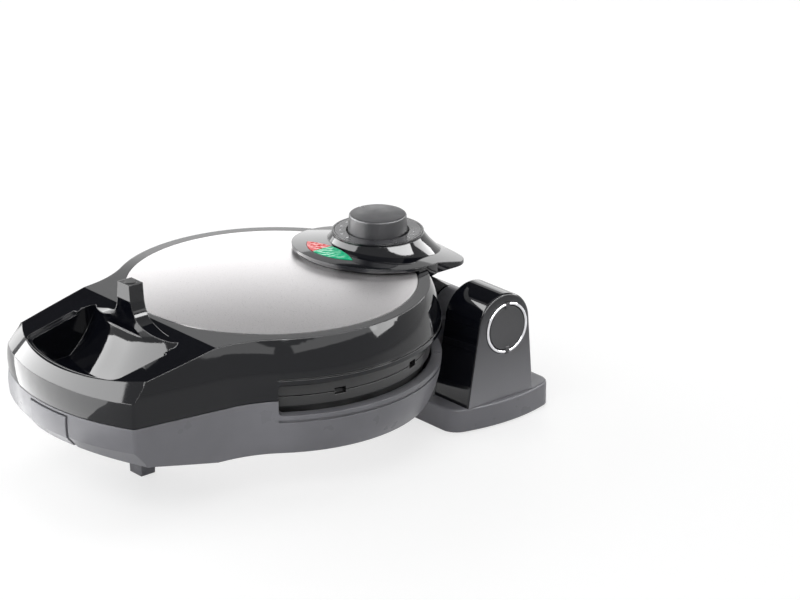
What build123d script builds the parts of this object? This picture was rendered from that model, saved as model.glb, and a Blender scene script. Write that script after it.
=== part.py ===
from build123d import *
from math import cos, degrees, radians, sin, sqrt, tan
import os

# A waffle maker whose closed body turns end over end in a stand. All sizes are in millimetres.
# X runs from the handle to the stand, Y along the pivot axis and Z up. Plan sizes of the body are
# measured from the pivot axis, negative towards the handle, and its heights from the parting plane,
# which holds the pivot axis. The lower half is the upper half turned over, apart from its controls.

# Body
shell_radius = 113.0
shell_to_tower = 31.3
shell_wall = 2.6
parting_gap = 0.3
deck_gap = 0.6
cut_past = 1.0
side_heights = (17.6, 30.0, 44.0)
side_insets = (0.3, 3.4, 10.0)
rim_top = 39.6
roof_wall = 2.6
floor_wall = 2.7

# Handle end
handle_reach = 313.5
end_radius = 145.0
corner_back = 18.5
corner_half_width = 69.5
side_angle = 8.7
waist_radius = 80.0
corner_radius = 3.0
handle_top = 25.0
handle_top_back = 7.5
slope_start_gap = 5.0
bevel_height = 16.5
bevel_depth = 7.0
bevel_arc = 60.0

# Finger pocket and post
pocket_lip = 12.0
pocket_front_half = 46.0
pocket_rear_half = 48.0
pocket_corner = 8.0
pocket_floor = 6.0
pocket_slope_run = 19.7
pocket_bend_run = 6.2
pocket_bend_height = 22.0
pocket_scoop_start = 7.0
pocket_scoop_radius = 75.0
pocket_scoop_arc = 45.0
pocket_ledge = 3.0
pocket_ledge_depth = 2.0
pocket_ledge_run = 4.0
post_depth = 11.1
post_gap = 13.2
lower_post_shift = 5.7
post_flare_height = 36.4
post_root = 27.0
post_profile = ((31.0, 38.3), (20.5, 40.8), (13.0, 44.6), (9.5, 49.0), (7.2, 56.5))
post_half_width = 6.2
post_plug_radius = 3.6
post_plug_depth = 7.0
post_plug_proud = 0.6
plug_clearance = 0.1

# Steam band, where the shells are cut back from the plates
band_height = 10.6
band_start = 25.0
band_end = 126.5
band_end_radius = 3.0
band_reach = 8.0
lip_top = 14.6
lip_groove = 1.3
lip_groove_height = 1.8

# Cooking plates
plate_side = 7.5
plate_gap = 0.7
plate_rim_height = 6.7
plate_back = 14.0
plate_flange_step = 3.3
plate_rim_width = 17.5
cavity_depth = 10.5
stud_pitch = 20.0
stud_base = 13.6
stud_height = 6.6
stud_taper = 14.0
divider_width = 5.0
divider_height = 8.0
steam_notch_width = 8.0
steam_notch_height = 2.0
steam_notch_depth = 4.0
steam_notch_angles = (68.0, 104.0)
plate_boss_radius = 5.0
plate_boss_edge = 23.5
plate_boss_angles = (45.0, 135.0, 225.0, 315.0)
plate_boss_height = 7.6
screw_pilot_radius = 1.6

# Heating element and reflector
heater_edge = 47.5
heater_tube = 3.4
heater_pin_radius = 2.6
heater_gap = 0.1
heater_arc = 310.0
heater_tail = 10.0
reflector_edge = 11.5
reflector_thickness = 0.8
reflector_lip = 4.0
reflector_window_gap = 6.0
reflector_hole = 5.0
screw_radius = 1.5
screw_head_radius = 3.2
screw_head_height = 2.0
screw_length = 5.8
screw_clearance = 0.2

# Steel disc
disc_side = 16.0
disc_edge_gap = 0.3
disc_ledge = 4.5
disc_thickness = 1.2
disc_edge_proud = 0.3
disc_crown = 5.0
disc_cover_lap = 6.0

# Hinge covers
cover_radius = 52.4
cover_centre = 46.0
cover_half_width = 48.5
cover_back = 5.0
cover_back_corner = 14.0
cover_dome_radius = 350.0
cover_dome_centre = 85.0
cover_rise = 10.0
cover_rim = 2.4
cover_overhang = 3.0
cover_wall = 2.4
cover_gap = 0.2
cover_boss_places = ((-56.0, 32.0), (-56.0, -32.0))
cover_boss_radius = 4.0
hood_low = 34.0
hood_start = 24.0

# Dial and knob
dial_place = 38.0
dial_foot_radius = 43.5
dial_foot = 38.5
dial_waist = (34.5, 48.2)
dial_radius = 31.3
dial_top = 54.4
dial_rim = 1.6
dial_hole_radius = 9.0
dial_well_radius = 21.6
dial_well_depth = 3.2
dial_ring_radius = 29.4
dial_ring_thickness = 1.4
dial_ring_gap = 0.3
knob_radius = 20.5
knob_table_gap = 1.0
knob_gap = 0.6
knob_crown = 0.8
knob_edge_round = 1.6
knob_draft = 0.9
knob_wall = 2.4
knob_hub_radius = 6.0
knob_mark_width = 2.0
knob_mark_length = 6.0
knob_mark_depth = 0.8
knob_mark_angle = 90.0
spindle_radius = 3.0
spindle_clearance = 0.06
spindle_low = 27.0
deck_hole_radius = 5.0

# Thermostat and lamps
thermostat_middle = 41.0
thermostat_length = 26.0
thermostat_width = 26.0
thermostat_height = 12.0
thermostat_gap = 0.2
blade_place = 44.0
blade_drop = 6.5
blade_length = 10.0
blade_width = 6.0
blade_thickness = 0.8
blade_barrel = 1.2
blade_clearance = 0.06
blade_side_gap = 0.3
blade_travel = 2.2
blade_mouth = 1.7
contact_radius = 1.5
contact_height = 1.0
fuse_place = 66.0
fuse_radius = 3.0
fuse_length = 16.0
fuse_gap = 0.1
lamp_place = (-79.6, 0.5)
lamp_length = 48.3
lamp_left = 11.2
lamp_right = 5.3
lamp_split = 0.40
lamp_gap = 0.2
lamp_proud = 0.3
lamp_depth = 3.4
lower_lamp_place = 33.0
lower_lamp_length = 27.0
lower_lamp_width = 19.0
ring_groove_place = 42.0
ring_groove_radius = 36.0
ring_groove_width = 1.4
ring_groove_depth = 1.0

# Hinge and pivots
hinge_barrel = 13.0
hinge_web_start = 24.0
hinge_web_height = 30.0
hinge_web_low = 2.4
lid_knuckle_half = 29.6
ear_inner = 30.2
ear_outer = 46.0
hinge_pin_radius = 3.0
hinge_pin_clearance = 0.05
hinge_pin_half = 40.0
pivot_radius = 9.0
pivot_clearance = 0.05
pivot_bore = 5.0
pivot_collar_radius = 14.0
pivot_collar_gap = 0.6
pivot_end = 77.0
pivot_start_gap = 0.3
clip_thickness = 1.4
clip_radius = 13.0
bush_radius = 12.0
bush_end = 70.0

# Stand
tower_inner = 55.0
tower_outer = 89.5
tower_wall = 3.0
tower_left_foot = 34.0
tower_right_foot = 25.0
tower_left_shoulder = 24.3
tower_right_shoulder = 20.6
tower_shoulder = 4.0
tower_top = 24.5
tower_edge_round = 1.8
tower_boss_wall = 3.4
tower_post_radius = 4.0
tower_post_height = 12.0
cap_gap = 0.2
cap_proud = 0.6
cap_depth = 4.0
cap_tab_width = 3.4
trim_ring_radius = 17.0
trim_ring_tube = 1.1
trim_ring_side = 0.3
trim_cap_gap = 0.7
trim_groove_depth = 1.2
trim_gap = 0.1
base_front = 45.0
base_back = 45.0
base_corner_half = 85.0
base_middle_half = 93.0
base_corner_radius = 12.0
base_skirt_low = 1.2
base_wall = 2.8
base_edge_round = 1.6
base_gap_half = 50.5
base_bridge_end = 5.0
base_gap_corner = 8.0
base_plate_low = 1.5
base_plate_thickness = 2.0
base_plate_clearance = 0.3
base_post_radius = 4.0
base_post_gap = 0.1
foot_radius = 8.0
foot_places = ((-31.0, 70.0), (31.0, 70.0), (-31.0, -70.0), (31.0, -70.0))
base_screw_places = ((-16.0, 76.0), (16.0, 76.0), (-16.0, -76.0), (16.0, -76.0))
tower_screw_places = ((-20.0, 61.5), (12.0, 61.5), (-20.0, -61.5), (12.0, -61.5))
gland_place = -22.0
gland_radius = 4.4
gland_bore = 3.2
gland_flange = 5.4
gland_flange_gap = 0.2
gland_flange_thickness = 2.0
gland_proud = 5.0
terminal_place = -22.0
terminal_length = 30.0
terminal_width = 16.0
terminal_headroom = 2.1
terminal_gap = 0.1

# Latch
latch_half_width = 19.2
latch_gap = 0.9
latch_slot_gap = 0.6
latch_top = 2.6
latch_bottom = 23.6
latch_thickness = 2.6
latch_proud = 0.7
latch_window_depth = 10.0
latch_pin_back = 6.3
latch_pivot = 12.0
latch_pin_radius = 1.2
latch_pin_clearance = 0.05
latch_lug_half = 4.8
latch_lug_radius = 2.7
latch_hook_thickness = 1.6
latch_hook_offset = 0.9
latch_hook_top = 6.0
latch_barb = 1.1
latch_barb_height = 2.4
latch_barb_drop = 1.7
latch_rib_place = 7.9
latch_rib_thickness = 1.8
latch_rib_outer_back = 4.5
latch_rib_inner_back = 10.8
latch_rib_half = 3.0
latch_spring_radius = 2.3
latch_spring_bore = 1.45
latch_spring_gap = 0.3
hook_slot_outer_back = 2.9
hook_slot_inner_back = 8.1
strike_gap = 0.35
strike_wall = 0.8
strike_seat_gap = 0.1
strike_lip_height = 1.4
strike_height = 9.0

# Worked out from the sizes above
plate_top = base_plate_low + base_plate_thickness
gland_height = plate_top + gland_flange + gland_flange_gap
base_deck = gland_height + gland_flange + gland_flange_gap + base_wall
terminal_height = base_deck - base_wall - plate_top - terminal_gap - terminal_headroom
cover_dome_top = rim_top + cover_rise
pivot_height = base_deck + cover_dome_top + lamp_proud + deck_gap
pivot_x = (handle_reach + latch_proud - base_back) / 2
end_centre = handle_reach - end_radius
plate_centre = shell_to_tower + sqrt(shell_radius**2 - tower_inner**2)
plate_radius = shell_radius - plate_side
plate_flange_radius = plate_radius - plate_flange_step
cavity_radius = plate_radius - plate_rim_width
plate_boss_circle = plate_radius - plate_boss_edge
heater_radius = plate_radius - heater_edge
reflector_radius = plate_radius - reflector_edge
reflector_window = heater_radius - reflector_window_gap
disc_radius = shell_radius - disc_side
disc_far_edge = plate_centre + disc_radius
slope_start = disc_far_edge + slope_start_gap
post_rear = disc_far_edge + post_gap
post_front = post_rear + post_depth
pocket_floor_end = post_front + pocket_slope_run
pocket_bend = post_front + pocket_bend_run
pocket_ledge_end = post_front + pocket_ledge_run
corner_reach = handle_reach - corner_back
handle_top_reach = handle_reach - handle_top_back
roof_slope = (rim_top - handle_top) / (handle_top_reach - slope_start)
bevel_rise = handle_top - bevel_height
plate_opening = plate_radius + plate_gap
disc_seat = rim_top + disc_edge_proud - disc_thickness
disc_edge_top = rim_top + disc_edge_proud
deck_under = rim_top - roof_wall
post_tip = pivot_height - post_plug_proud
post_middle = -(post_front + post_rear) / 2
reflector_height = plate_back + plate_boss_height
dial_seat = dial_top - dial_ring_thickness
dial_well = dial_top - dial_well_depth
knob_low = dial_well + knob_gap
knob_top = pivot_height - knob_table_gap
knob_bore_top = knob_top - 2 * knob_wall
trim_groove_radius = trim_ring_radius + trim_ring_tube + trim_ring_side
cap_radius = trim_ring_radius - trim_ring_tube - trim_cap_gap
latch_pin_reach = handle_reach - latch_pin_back
thermostat_top = deck_under - thermostat_gap
blade_height = thermostat_top - blade_drop
reflector_top = reflector_height + reflector_thickness
heater_height = plate_back + heater_tube + heater_gap
boss_places = [
    (-plate_centre + plate_boss_circle * cos(radians(a)), plate_boss_circle * sin(radians(a)))
    for a in plate_boss_angles
]
heater_ends = [
    (
        -plate_centre + heater_radius * cos(radians(180 - heater_arc / 2)),
        side * heater_radius * sin(radians(180 - heater_arc / 2)),
    )
    for side in (1, -1)
]
hook_outer = latch_pin_reach + latch_hook_offset + latch_hook_thickness / 2
hook_inner = hook_outer - latch_hook_thickness
parting = Plane(origin=(pivot_x, 0, pivot_height))


def level(height):
    """Horizontal plane at a height above the parting plane, its origin on the pivot axis."""
    return parting.offset(height)


def table(height):
    """Horizontal plane at a height above the table, its origin under the pivot axis."""
    return Plane(origin=(pivot_x, 0, height))


def section(place):
    """Upright plane across the pivot axis: local x along X, local y up from the pivot axis."""
    return Plane(origin=(pivot_x, place, pivot_height), x_dir=(1, 0, 0), z_dir=(0, -1, 0))


def end_view(place):
    """Upright plane along the pivot axis: local x along Y, local y up from the pivot axis."""
    return Plane(origin=(pivot_x + place, 0, pivot_height), x_dir=(0, 1, 0), z_dir=(1, 0, 0))


def handle_corner(inset):
    """Where a side line of the handle meets its end arc, in a plan drawn in by inset."""
    slope = tan(radians(side_angle))
    start = corner_half_width + slope * corner_reach - inset * sqrt(1 + slope**2)
    half = end_centre + start * slope
    rest = end_centre**2 + start**2 - (end_radius - inset) ** 2
    x = (-half - sqrt(half**2 - (1 + slope**2) * rest)) / (1 + slope**2)
    return x, start + slope * x


def plan(inset):
    """Outline of a half from above: a circle run into the handle through a waist."""
    x, y = handle_corner(inset)
    root = -plate_centre
    root_half = y + tan(radians(side_angle)) * (root - x)
    tip = inset - handle_reach
    with BuildSketch() as outline:
        with Locations((-plate_centre, 0)):
            Circle(shell_radius - inset)
        with BuildLine():
            Polyline((x, y), (root, root_half), (root, -root_half), (x, -y))
            ThreePointArc((x, -y), (tip, 0), (x, y))
        make_face()
        fillet(outline.vertices().group_by(Axis.X)[1], waist_radius)
        fillet(outline.vertices().group_by(Axis.X)[0], corner_radius)
    return outline.sketch


def block(extra, low, drop):
    """Solid form of a half, drawn in by extra, from a low height to its roof lowered by drop."""
    far = handle_reach + shell_wall
    far_top = handle_top - roof_slope * (far - handle_top_reach) - drop
    heights = (low,) + side_heights
    insets = (0.0,) + side_insets
    with BuildPart() as form:
        for height, inset in zip(heights, insets):
            with BuildSketch(level(height)):
                add(plan(inset + extra))
        loft()
        with BuildSketch(section(0)):
            with BuildLine():
                Polyline(
                    (-far, low),
                    (-far, far_top),
                    (-slope_start, rim_top - drop),
                    (far, rim_top - drop),
                    (far, low),
                    close=True,
                )
            make_face()
        extrude(amount=2 * shell_radius, both=True, mode=Mode.INTERSECT)
    return form.part


def end_bevel(inset):
    """Cutter for the slope between the handle's end wall and its top, drawn in by inset."""
    shift = inset * sqrt(bevel_depth**2 + bevel_rise**2) / bevel_rise
    turn = radians(180 - bevel_arc / 2)
    out = Plane(
        origin=(pivot_x - end_centre, 0, pivot_height),
        x_dir=(cos(turn), sin(turn), 0),
        z_dir=(sin(turn), -cos(turn), 0),
    )
    with BuildPart() as cutter:
        with BuildSketch(out):
            with BuildLine():
                Polyline(
                    (end_radius + bevel_depth - shift, bevel_height - bevel_rise),
                    (end_radius - 2 * bevel_depth - shift, bevel_height + 2 * bevel_rise),
                    (end_radius + 4 * bevel_depth, bevel_height + 2 * bevel_rise),
                    (end_radius + 4 * bevel_depth, bevel_height - bevel_rise),
                    close=True,
                )
            make_face()
        revolve(axis=Axis((pivot_x - end_centre, 0, 0), (0, 0, 1)), revolution_arc=bevel_arc)
    return cutter.part


def pocket_plan(grow, back):
    """Outline of the finger pocket, grown all round, its rear end moved back towards the hinge."""
    reach = end_radius - pocket_lip + grow
    front_half = pocket_front_half + grow
    front = -end_centre - sqrt(reach**2 - front_half**2)
    rear = back - post_rear
    rear_half = pocket_rear_half + grow
    with BuildSketch() as outline:
        with BuildLine():
            Polyline((front, front_half), (rear, rear_half), (rear, -rear_half), (front, -front_half))
            ThreePointArc((front, -front_half), (-end_centre - reach, 0), (front, front_half))
        make_face()
        fillet(outline.vertices(), pocket_corner)
    return outline.sketch


def pocket_side_view(grow, back):
    """Side view of the hollow in front of the post: its floor curves up into the post's front."""
    top = pivot_height + cut_past
    wall = back + grow
    tip = (wall - post_front, post_profile[-1][1])
    floor_end = (wall - pocket_floor_end, pocket_floor - grow)
    with BuildSketch() as outline:
        with BuildLine():
            ThreePointArc(floor_end, (wall - pocket_bend, pocket_bend_height), tip)
            Polyline(
                tip,
                (wall - post_front, top),
                (-handle_reach - shell_wall, top),
                (-handle_reach - shell_wall, pocket_floor - grow),
                floor_end,
            )
        make_face()
    return outline.sketch


def pocket(grow, back):
    """The hollow that the fingers reach into, its rear wall drawn back on both sides of the post."""
    scoop_centre = post_front - pocket_scoop_radius - back
    axis = Axis((pivot_x - scoop_centre, pocket_scoop_start, 0), (0, 0, -1))
    with BuildPart() as scoop:
        with BuildSketch(section(pocket_scoop_start)):
            add(pocket_side_view(grow, back))
        revolve(axis=axis, revolution_arc=pocket_scoop_arc)
    with BuildPart() as hollow:
        with BuildSketch(section(pocket_scoop_start)):
            add(pocket_side_view(grow, back))
        extrude(amount=2 * pocket_scoop_start)
        add(scoop.part)
        add(to_rear(scoop.part))
        with BuildSketch(level(pocket_floor - grow)):
            add(pocket_plan(grow, back))
        extrude(amount=2 * pivot_height, mode=Mode.INTERSECT)
    return hollow.part


def pocket_step(back):
    """Cutter for the shallow ledge inside the pocket's rim, parallel to the sloping top."""
    step_end = pocket_ledge_end - back
    low_end = handle_top - roof_slope * (handle_reach - handle_top_reach) - pocket_ledge_depth
    high_end = handle_top + roof_slope * (handle_top_reach - step_end) - pocket_ledge_depth
    top = pivot_height
    with BuildPart() as step:
        with BuildSketch(level(handle_top / 2)):
            add(pocket_plan(pocket_ledge, back))
        extrude(amount=top)
        with BuildSketch(section(0)):
            Polygon(
                (-handle_reach, low_end),
                (-step_end, high_end),
                (-step_end, top),
                (-handle_reach, top),
                align=None,
            )
        extrude(amount=2 * corner_half_width, both=True, mode=Mode.INTERSECT)
    return step.part


def band_sketch(inner, outer, grow):
    """Two sectors of a ring round the plate, one on each side of the body."""
    with BuildSketch() as sectors:
        with Locations((-plate_centre, 0)):
            for side in (1, -1):
                start = band_start - grow
                end = band_end + grow
                first = (2 * outer * cos(radians(start)), side * 2 * outer * sin(radians(start)))
                middle = (2 * outer * cos(radians((start + end) / 2)), side * 2 * outer)
                last = (2 * outer * cos(radians(end)), side * 2 * outer * sin(radians(end)))
                Polygon((0, 0), first, middle, last, align=None)
            Circle(outer, mode=Mode.INTERSECT)
            Circle(inner, mode=Mode.SUBTRACT)
    return sectors.sketch


def band(grow):
    """Space round the plate's rim where the shell is cut back, grown for its liner."""
    turn = degrees(grow / shell_radius)
    with BuildPart() as space:
        with BuildSketch(level(-cut_past)):
            add(band_sketch(plate_opening, shell_radius + band_reach, turn))
        extrude(amount=cut_past + band_height + grow)
        ends = space.edges().filter_by(GeomType.LINE).filter_by(Plane.XY).group_by(Axis.Z)[-1]
        fillet(ends, band_end_radius + grow)
    return space.part


def lip_cutter():
    """Small groove above the rounded lip over the steam band."""
    with BuildPart() as groove:
        with BuildSketch(level(lip_top - lip_groove_height / 2)):
            add(band_sketch(shell_radius - lip_groove, shell_radius + band_reach, 0))
        extrude(amount=lip_groove_height)
    return groove.part


def cover_plan(inset):
    """Outline of a hinge cover: round towards the plate, straight over the hinge."""
    with BuildSketch() as outline:
        with Locations((-cover_centre, 0)):
            Circle(cover_radius - inset)
        half = cover_half_width - inset
        back = cover_back - inset
        Polygon((-cover_centre, half), (-cover_centre, -half), (back, -half), (back, half), align=None)
        fillet(outline.vertices().group_by(Axis.X)[-1], cover_back_corner - inset)
    return outline.sketch


def dome(drop):
    """Large ball whose top is the outer face of the hinge covers, lowered by drop."""
    with BuildPart() as ball:
        with BuildSketch(section(0)):
            with Locations((-cover_dome_centre, cover_dome_top - cover_dome_radius)):
                Circle(cover_dome_radius - drop)
                Rectangle(
                    4 * cover_dome_radius,
                    4 * cover_dome_radius,
                    align=(Align.MAX, Align.CENTER),
                    mode=Mode.SUBTRACT,
                )
        axis = Axis((pivot_x - cover_dome_centre, 0, 0), (0, 0, 1))
        revolve(axis=axis, revolution_arc=360)
    return ball.part


def upright_at(place):
    """Upright middle plane with its origin at a place along X, its local x along X."""
    return Plane(origin=(pivot_x + place, 0, pivot_height), x_dir=(1, 0, 0), z_dir=(0, -1, 0))


def cap_height(place, radius, rise):
    """Height over its edge of a shallow ball cap, at a distance from its middle."""
    ball = (radius**2 + rise**2) / (2 * rise)
    return rise - ball + sqrt(ball**2 - place**2)


def disc_height(place):
    """Height of the steel disc's outer face at a distance from its middle."""
    return disc_edge_top + cap_height(place, disc_radius, disc_crown)


def disc_form(raise_by, radius, low):
    """Solid under the disc's domed face, raised by a clearance, down to a low height."""
    with BuildPart() as lens:
        with BuildSketch(upright_at(-plate_centre)):
            with BuildLine():
                Line((0, low), (0, disc_height(0) + raise_by))
                ThreePointArc(
                    (0, disc_height(0) + raise_by),
                    (radius / 2, disc_height(radius / 2) + raise_by),
                    (radius, disc_height(radius) + raise_by),
                )
                Polyline((radius, disc_height(radius) + raise_by), (radius, low), (0, low))
            make_face()
        revolve(axis=Axis((pivot_x - plate_centre, 0, 0), (0, 0, 1)))
    return lens.part


def knuckle(first, last, bore):
    """Hinge barrel round the pivot axis with its web to the shell's rear wall."""
    with BuildPart() as lug:
        with BuildSketch(section(-first)):
            Circle(hinge_barrel)
            with BuildLine():
                Polyline(
                    (-hinge_web_start, hinge_web_low),
                    (-hinge_web_start, hinge_web_height),
                    (0, hinge_barrel),
                    (0, 0),
                    (-hinge_barrel, hinge_web_low),
                    close=True,
                )
            make_face()
        extrude(amount=last - first)
        with BuildSketch(section(-first)):
            Circle(bore)
        extrude(amount=last - first, mode=Mode.SUBTRACT)
    return lug.part


def dome_height(x, y):
    """Height of the hinge covers' outer face over a point of the plan."""
    middle = cover_dome_top - cover_dome_radius
    return middle + sqrt(cover_dome_radius**2 - (x + cover_dome_centre) ** 2 - y**2)


def lamp_plan(first, last, inset):
    """Part of the pointed lamp window, by shares of its length from its far tip."""
    x, y = lamp_place
    half = lamp_length / 2
    with BuildSketch() as outline:
        with BuildLine():
            ThreePointArc((x, y + half), (x - lamp_left, y), (x, y - half))
            ThreePointArc((x, y - half), (x + lamp_right, y), (x, y + half))
        make_face()
        offset(amount=-inset)
        top = y + half - first * lamp_length - inset / 2
        low = y + half - last * lamp_length + inset / 2
        with Locations((x, (top + low) / 2)):
            Rectangle(lamp_length, top - low, mode=Mode.INTERSECT)
    return outline.sketch


def hook_slot():
    """Slot in both shells' floors that the latch's hook stands in."""
    middle = (hook_slot_outer_back + hook_slot_inner_back) / 2 - handle_reach
    with BuildSketch() as slot:
        with Locations((middle, 0)):
            Rectangle(hook_slot_inner_back - hook_slot_outer_back, 2 * (latch_lug_half + latch_slot_gap))
    return slot.sketch


def tower_plan(inset):
    """Outline of a stand tower seen from the front, drawn in by inset."""
    low = base_deck - pivot_height
    left = (-tower_left_shoulder, tower_shoulder)
    right = (tower_right_shoulder, tower_shoulder)
    top = ((tower_right_shoulder - tower_left_shoulder) / 2, tower_top)
    with BuildSketch() as outline:
        with BuildLine():
            Polyline(left, (-tower_left_foot, low), (tower_right_foot, low), right)
            ThreePointArc(right, top, left)
        make_face()
        if inset:
            offset(amount=-inset)
    return outline.sketch


def base_plan(inset):
    """Outline of the stand's foot: bowed front and rear, open towards the back between its arms."""
    with BuildSketch() as outline:
        with BuildLine():
            ThreePointArc(
                (-base_front, -base_corner_half), (0, -base_middle_half), (base_back, -base_corner_half)
            )
            Line((base_back, -base_corner_half), (base_back, base_corner_half))
            ThreePointArc(
                (base_back, base_corner_half), (0, base_middle_half), (-base_front, base_corner_half)
            )
            Line((-base_front, base_corner_half), (-base_front, -base_corner_half))
        make_face()
        fillet(outline.vertices(), base_corner_radius)
        with BuildSketch(mode=Mode.PRIVATE) as opening:
            with Locations((base_bridge_end, 0)):
                Rectangle(2 * base_back, 2 * base_gap_half, align=(Align.MIN, Align.CENTER))
            fillet(opening.vertices().group_by(Axis.X)[0], base_gap_corner)
        add(opening.sketch, mode=Mode.SUBTRACT)
        if inset:
            offset(amount=-inset)
    return outline.sketch


def ring_group(plane, places, radius, height, bore=0):
    """Like posts or rings standing on a plane."""
    with BuildPart() as group:
        with BuildSketch(plane):
            with Locations(*places):
                Circle(radius)
                if bore:
                    Circle(bore, mode=Mode.SUBTRACT)
        extrude(amount=height)
    return group.part


def screws(plane, places, length):
    """Like screws whose heads stand on a plane and whose shanks run down from it."""
    with BuildPart() as group:
        add(ring_group(plane, places, screw_head_radius, screw_head_height))
        add(ring_group(plane, places, screw_radius, -length))
    return group.part


def heater(side):
    """Heating element behind the upper plate, or behind the lower one for side -1."""
    turn = radians(180 - heater_arc / 2)
    start = Plane(
        origin=(pivot_x - plate_centre, 0, pivot_height),
        x_dir=(cos(turn), sin(turn), 0),
        z_dir=(sin(turn), -cos(turn), 0),
    )
    with BuildPart() as element:
        with BuildSketch(start):
            with Locations((heater_radius, side * heater_height)):
                Circle(heater_tube)
        revolve(axis=Axis((pivot_x - plate_centre, 0, 0), (0, 0, 1)), revolution_arc=heater_arc)
        add(ring_group(level(side * heater_height), heater_ends, heater_pin_radius, side * heater_tail))
    return element.part


def stud_places():
    """Middles of the studs that stand whole inside a plate's cavity, clear of its dividers."""
    count = int(cavity_radius / stud_pitch) + 1
    steps = [(i + 0.5) * stud_pitch for i in range(-count, count)]
    reach = cavity_radius - (stud_pitch - stud_base) / 2
    half = stud_base / 2
    return [
        (-plate_centre + x, y)
        for x in steps
        for y in steps
        if (abs(x) + half) ** 2 + (abs(y) + half) ** 2 < reach**2
    ]


def about_parting(solid):
    """The same form turned over for the lower half."""
    return mirror(solid, about=parting, mode=Mode.PRIVATE)


def to_rear(solid):
    """The same form on the far side of the body."""
    return mirror(solid, about=Plane.XZ, mode=Mode.PRIVATE)


# Hollow of a half between its floor, its walls and its roof
with BuildPart() as shell_cavity:
    add(block(shell_wall, parting_gap + floor_wall, roof_wall))
    add(end_bevel(shell_wall), mode=Mode.SUBTRACT)

# Outer form of a half, before its openings are cut
with BuildPart() as outer_form:
    add(block(0, parting_gap, 0))

# Steam band with its liner, which both halves share
with BuildPart() as band_liner:
    add(outer_form.part)
    add(band(shell_wall), mode=Mode.INTERSECT)


def shell_form(back):
    """Form of a shell, drawn for the upper half, its post moved back towards the hinge."""
    with BuildPart(mode=Mode.PRIVATE) as liner:
        add(outer_form.part)
        add(pocket(shell_wall, back), mode=Mode.INTERSECT)
    with BuildPart() as form:
        add(outer_form.part)
        add(shell_cavity.part, mode=Mode.SUBTRACT)
        add(liner.part)
        add(band_liner.part)
        with BuildSketch(level(parting_gap)):
            with Locations((-plate_centre, 0)):
                Circle(plate_opening + shell_wall)
        extrude(amount=plate_back - parting_gap)
        with BuildSketch(end_view(back - post_rear)):
            with BuildLine():
                half = [(pocket_rear_half, post_flare_height)] + list(post_profile)
                tip = (post_half_width, post_tip)
                Spline(*half, tip)
                Line(tip, (-post_half_width, post_tip))
                Spline((-post_half_width, post_tip), *[(-y, z) for y, z in reversed(half)])
                Polyline(
                    (-pocket_rear_half, post_flare_height),
                    (-pocket_rear_half, post_root),
                    (pocket_rear_half, post_root),
                    (pocket_rear_half, post_flare_height),
                )
            make_face()
        extrude(amount=-post_depth)
        add(end_bevel(0), mode=Mode.SUBTRACT)
        add(pocket(0, back), mode=Mode.SUBTRACT)
        add(pocket_step(back), mode=Mode.SUBTRACT)
        add(band(0), mode=Mode.SUBTRACT)
        add(lip_cutter(), mode=Mode.SUBTRACT)
        with BuildSketch(level(0)):
            with Locations((-plate_centre, 0)):
                Circle(plate_opening)
        extrude(amount=plate_back, mode=Mode.SUBTRACT)
        with BuildSketch(level(plate_back)):
            with Locations((-plate_centre, 0)):
                Circle(disc_radius - disc_ledge)
            add(cover_plan(disc_cover_lap / 2), mode=Mode.SUBTRACT)
        extrude(amount=rim_top, mode=Mode.SUBTRACT)
        with BuildSketch(level(disc_seat)):
            with Locations((-plate_centre, 0)):
                Circle(disc_radius + disc_edge_gap)
        extrude(amount=rim_top, mode=Mode.SUBTRACT)
        with BuildSketch(level(post_tip - post_plug_depth)):
            with Locations((post_middle + back, 0)):
                Circle(post_plug_radius + plug_clearance)
        extrude(amount=post_plug_depth + cut_past, mode=Mode.SUBTRACT)
    return form.part


def post_plug(back):
    """Rubber plug in the tip of a post, drawn for the upper half."""
    with BuildPart() as plug:
        with BuildSketch(level(pivot_height)):
            with Locations((post_middle + back, 0)):
                Circle(post_plug_radius)
        extrude(amount=plug_clearance - post_plug_depth - post_plug_proud)
    return plug.part


def latch_face(inset):
    """Form that the latch's panel follows: the handle's end wall and its slope, drawn in by inset."""
    with BuildPart() as form:
        add(block(inset, 0, -latch_thickness))
        add(end_bevel(inset), mode=Mode.SUBTRACT)
    return form.part


# Lid shell: the shared form with its hinge barrel, the dial's hole and the slot for the latch's hook
with BuildPart() as upper_shell:
    add(shell_form(0))
    add(knuckle(-lid_knuckle_half, lid_knuckle_half, hinge_pin_radius + hinge_pin_clearance))
    with BuildSketch(level(plate_back)):
        with Locations((-dial_place, 0)):
            Circle(deck_hole_radius)
        with Locations(*cover_boss_places):
            Circle(screw_radius + screw_clearance)
    extrude(amount=rim_top, mode=Mode.SUBTRACT)
    with BuildSketch(level(0)):
        add(hook_slot())
    extrude(amount=parting_gap + floor_wall + cut_past, mode=Mode.SUBTRACT)

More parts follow.
